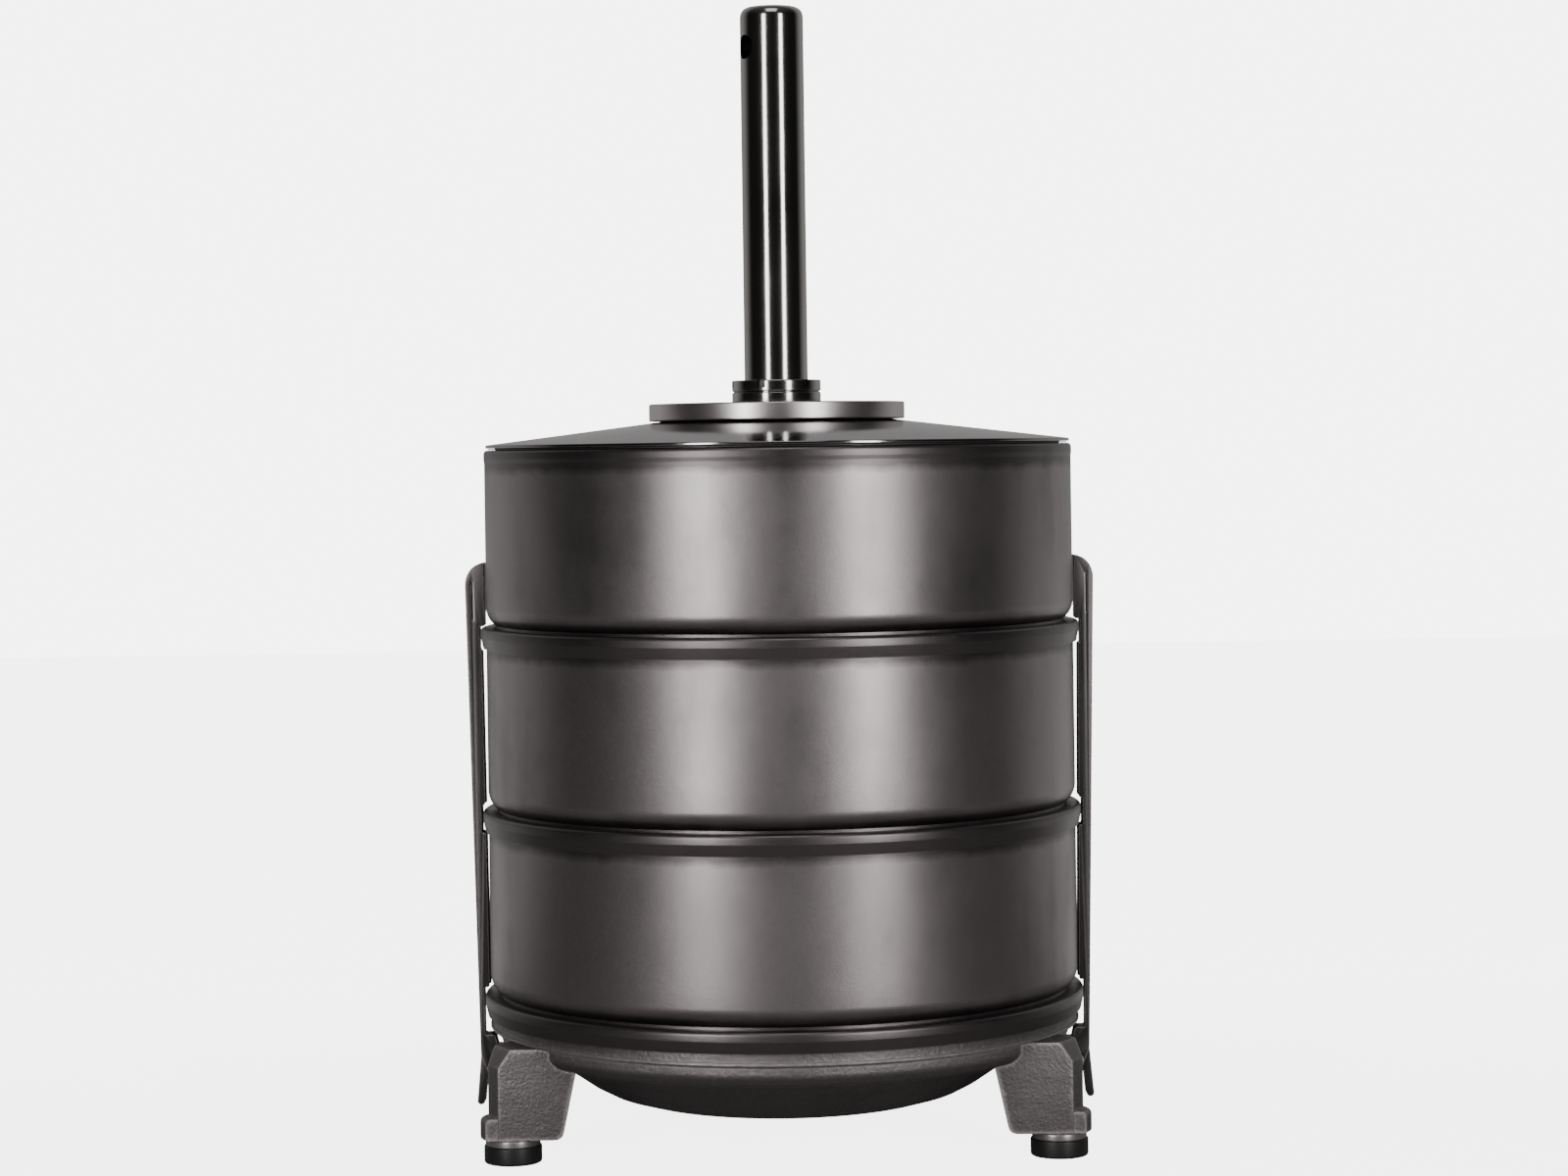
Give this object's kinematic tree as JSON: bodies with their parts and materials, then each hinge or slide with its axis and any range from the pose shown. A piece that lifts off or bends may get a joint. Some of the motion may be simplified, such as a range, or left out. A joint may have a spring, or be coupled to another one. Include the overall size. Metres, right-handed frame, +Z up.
{
  "type": "compost tumbler",
  "caption": "Upright hand-turned compost mixer: stacked steel drum sections on a cast tripod base with a sump, conical lid, bearing disc, turning shaft with arms, and two side draw clamps.",
  "frame": {"origin": "on the floor under the drum's axis, between the three feet", "axes": "+Z up along the drum's axis; the front is -Y, with a clamp on each of +X and -X"},
  "size_m": [0.642, 0.6475, 1.15],
  "materials": {
    "cast": "cast iron, fine orange-peel skin, dark warm grey",
    "drum": "spun steel, satin, very fine peened grain, warm grey",
    "lid": "spun steel, glossy, faint turning marks",
    "machined": "machined steel, bright turned rim",
    "shaft": "polished dark steel",
    "clamp": "dark steel strap with bright worn edges",
    "mixer": "plain stainless steel sheet and bar",
    "bronze": "bearing bronze",
    "rubber": "black moulded rubber",
    "fastener": "plain steel fastener"
  },
  "bodies": {
    "base": {"base_casting": "cast", "strainer_plate": "mixer", "lower_bush": "bronze", "thrust_washer": "bronze", "base_seal": "rubber", "drum_section_lower": "drum", "joint_seal_lower": "rubber", "drum_section_middle": "drum", "joint_seal_upper": "rubber", "drum_section_upper": "drum", "lid_seal": "rubber", "foot_pad_back": "rubber", "foot_pad_left": "rubber", "foot_pad_right": "rubber", "foot_ring_back": "fastener", "foot_ring_left": "fastener", "foot_ring_right": "fastener", "foot_bolt_back": "fastener", "foot_bolt_left": "fastener", "foot_bolt_right": "fastener", "pivot_pin_left": "fastener", "pivot_pin_right": "fastener"},
    "lid": {"lid_cone": "lid", "bearing_disc": "machined", "upper_bush": "bronze", "slotted_collar": "shaft", "disc_screw_1": "fastener", "disc_screw_2": "fastener", "disc_screw_3": "fastener", "disc_screw_4": "fastener"},
    "mixer": {"drive_shaft": "shaft", "shaft_head": "shaft", "mixer_hub_lower": "mixer", "mixer_hub_middle": "mixer", "mixer_hub_upper": "mixer", "hub_screw_lower": "fastener", "hub_screw_middle": "fastener", "hub_screw_upper": "fastener", "mixer_arm_lower_a": "mixer", "mixer_arm_lower_b": "mixer", "mixer_arm_middle_a": "mixer", "mixer_arm_middle_b": "mixer", "mixer_arm_upper_a": "mixer", "mixer_arm_upper_b": "mixer"},
    "lever_left": {"clamp_lever_left": "clamp"},
    "lever_right": {"clamp_lever_right": "clamp"},
    "strap_left": {"clamp_strap_left": "clamp", "strap_pin_left": "fastener"},
    "strap_right": {"clamp_strap_right": "clamp", "strap_pin_right": "fastener"},
    "drain": {"drain_plug": "fastener"}
  },
  "joints": [
    {"name": "shaft_spin", "type": "hinge", "parent": "base", "child": "mixer", "pos_m": [0, 0, 0.6], "axis": [0, 0, 1], "continuous": true},
    {"name": "lid_lift", "type": "slide", "parent": "base", "child": "lid", "axis": [0, 0, 1], "range_m": [0, 0.46]},
    {"name": "drain_plug_out", "type": "slide", "parent": "base", "child": "drain", "axis": [0, 0, -1], "range_m": [0, 0.028]},
    {"name": "lever_left_swing", "type": "hinge", "parent": "base", "child": "lever_left", "pos_m": [-0.3005, 0, 0.087], "axis": [0, 1, 0], "range_deg": [0, 150]},
    {"name": "strap_left_swing", "type": "hinge", "parent": "lever_left", "child": "strap_left", "pos_m": [-0.299, 0, 0.069], "axis": [0, 1, 0], "range_deg": [-160, 0]},
    {"name": "lever_right_swing", "type": "hinge", "parent": "base", "child": "lever_right", "pos_m": [0.3005, 0, 0.087], "axis": [0, -1, 0], "range_deg": [0, 150]},
    {"name": "strap_right_swing", "type": "hinge", "parent": "lever_right", "child": "strap_right", "pos_m": [0.299, 0, 0.069], "axis": [0, -1, 0], "range_deg": [-160, 0]}
  ],
  "couplings": [
    {"joint": "strap_left_swing", "follows": "lever_left_swing", "ratio": -1.06},
    {"joint": "strap_right_swing", "follows": "lever_right_swing", "ratio": -1.06}
  ]
}
